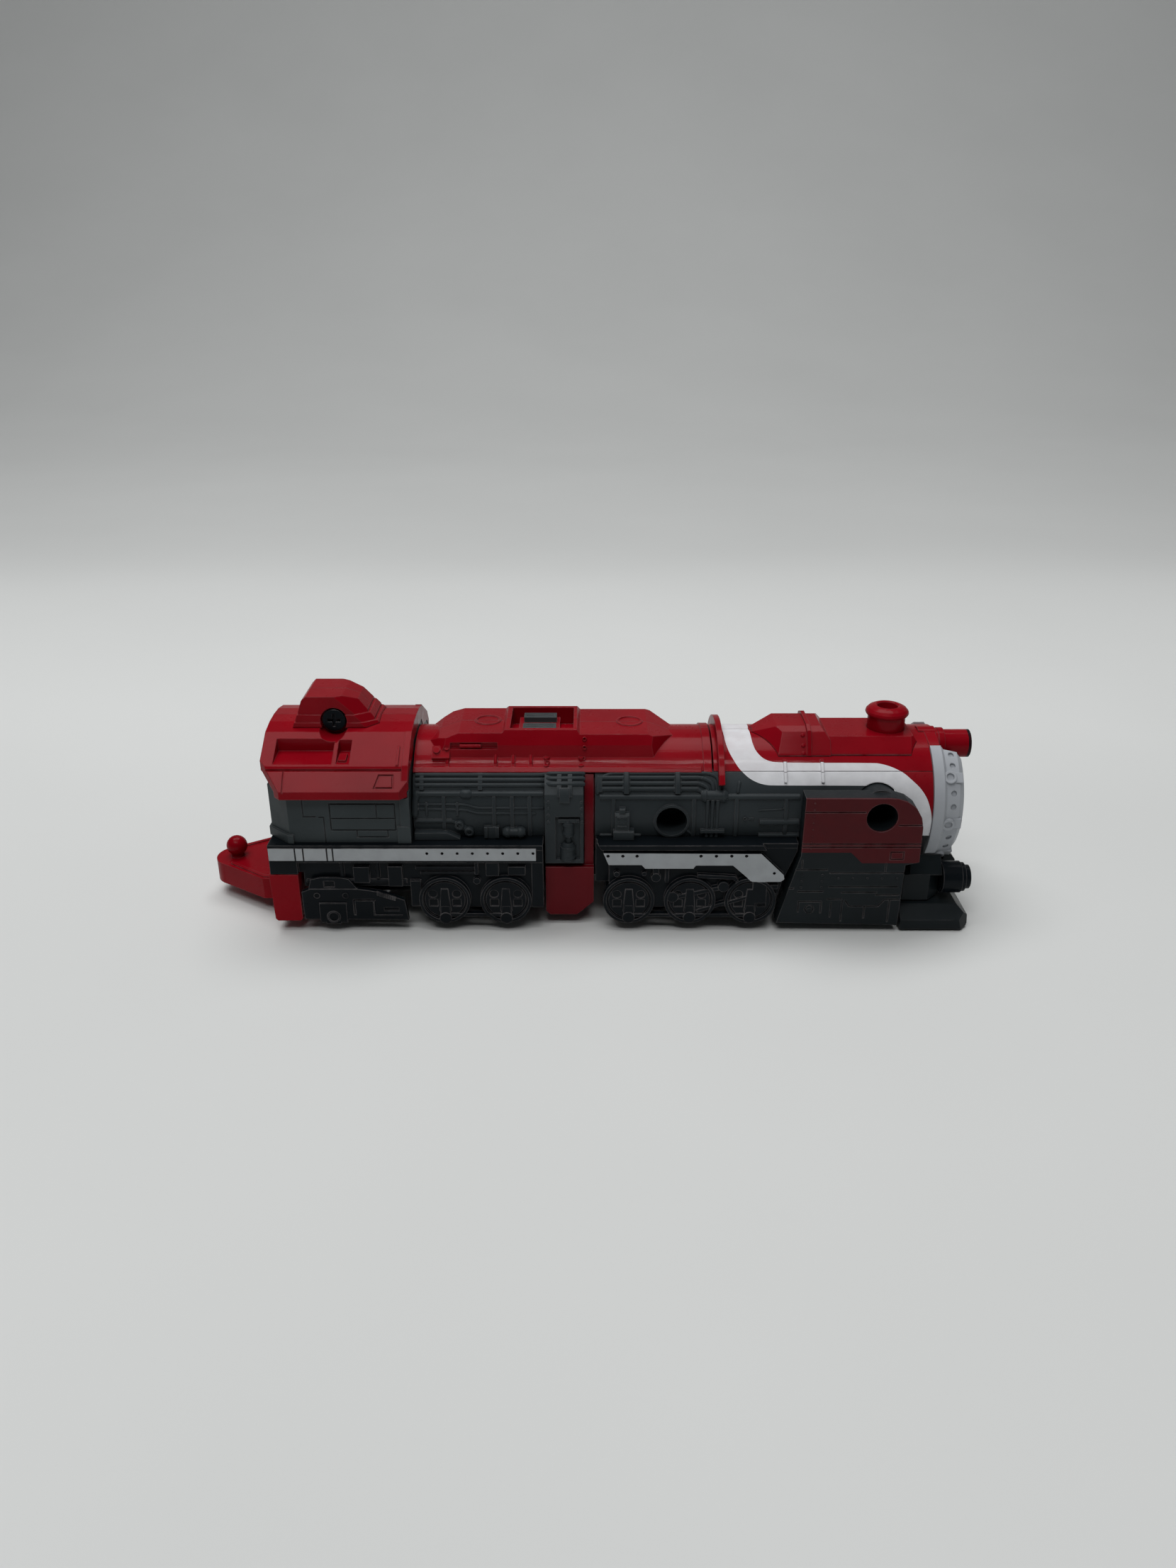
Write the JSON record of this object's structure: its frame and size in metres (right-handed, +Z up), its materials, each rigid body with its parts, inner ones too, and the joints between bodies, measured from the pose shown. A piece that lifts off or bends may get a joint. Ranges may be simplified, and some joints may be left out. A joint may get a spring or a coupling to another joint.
{
  "type": "toy train locomotive",
  "caption": "Toy steam locomotive that bends at the waist, with a folding ball hitch at the tail, rolling wheels and round accessory sockets in its sides.",
  "frame": {"origin": "on the ground plane, midway along the overall length and on the centre plane", "axes": "+X towards the nose, +Y towards the locomotive's left, +Z up"},
  "size_m": [0.1347, 0.031, 0.0395],
  "materials": {
    "red_plastic": "satin gloss",
    "dark_red_plastic": "satin",
    "grey_plastic": "satin",
    "black_plastic": "satin",
    "white_plastic": "satin gloss",
    "black_screw": "black oxide",
    "steel": "drawn wire"
  },
  "bodies": {
    "rear_section": {"cab_roof_right": "red_plastic", "cab_roof_left": "red_plastic", "roof_tower_right": "red_plastic", "roof_tower_left": "red_plastic", "tower_screw": "black_screw", "cab_side_right": "grey_plastic", "cab_side_left": "grey_plastic", "cab_rear_wall": "grey_plastic", "cab_front_wall": "grey_plastic", "boiler_cover_right": "red_plastic", "boiler_cover_left": "red_plastic", "latch_insert": "grey_plastic", "rear_side_panel_right": "grey_plastic", "rear_side_panel_left": "grey_plastic", "rear_frame_right": "black_plastic", "rear_frame_left": "black_plastic", "bogie_panel_right": "black_plastic", "bogie_panel_left": "black_plastic", "rear_foot_right": "red_plastic", "rear_foot_left": "red_plastic", "waist_core_right": "dark_red_plastic", "waist_core_left": "dark_red_plastic", "waist_pin": "steel", "rear_floor": "black_plastic", "rear_floor_screws": "steel", "hitch_pin": "steel"},
    "front_section": {"front_boiler_right": "red_plastic", "front_boiler_left": "red_plastic", "collar_ring": "red_plastic", "steam_dome": "red_plastic", "chimney": "red_plastic", "headlamp": "red_plastic", "nose_ring": "white_plastic", "smokebox_door": "grey_plastic", "front_side_panel_right": "grey_plastic", "front_side_panel_left": "grey_plastic", "front_frame_right": "black_plastic", "front_frame_left": "black_plastic", "front_skirt_right": "black_plastic", "front_skirt_left": "black_plastic", "front_beam": "grey_plastic", "buffer_right": "black_plastic", "buffer_left": "black_plastic", "pilot": "black_plastic", "front_floor": "black_plastic", "front_floor_screws": "steel"},
    "hitch": {"hitch_arm": "red_plastic"},
    "tail_wheelset": {"tail_axle": "steel", "tail_wheels": "black_plastic"},
    "cab_wheelset": {"cab_axle": "steel", "cab_wheels": "black_plastic"},
    "driver_wheelset": {"driver_axle": "steel", "driver_wheels": "black_plastic"},
    "leading_wheelset": {"leading_axle": "steel", "leading_wheels": "black_plastic"}
  },
  "joints": [
    {"name": "waist_hinge", "type": "hinge", "parent": "rear_section", "child": "front_section", "pos_m": [-0.003, 0, 0.007], "axis": [0, 1, 0], "range_deg": [0, 40]},
    {"name": "hitch_fold", "type": "hinge", "parent": "rear_section", "child": "hitch", "pos_m": [-0.053, 0, 0.0049], "axis": [0, 1, 0], "range_deg": [0, 50]},
    {"name": "tail_wheels_roll", "type": "hinge", "parent": "rear_section", "child": "tail_wheelset", "pos_m": [-0.04405, 0, 0.0032], "axis": [0, 1, 0], "continuous": true},
    {"name": "cab_wheels_roll", "type": "hinge", "parent": "rear_section", "child": "cab_wheelset", "pos_m": [-0.0194, 0, 0.0032], "axis": [0, 1, 0], "continuous": true},
    {"name": "driver_wheels_roll", "type": "hinge", "parent": "front_section", "child": "driver_wheelset", "pos_m": [0.0122, 0, 0.0032], "axis": [0, 1, 0], "continuous": true},
    {"name": "leading_wheels_roll", "type": "hinge", "parent": "front_section", "child": "leading_wheelset", "pos_m": [0.0456, 0, 0.0032], "axis": [0, 1, 0], "continuous": true}
  ]
}
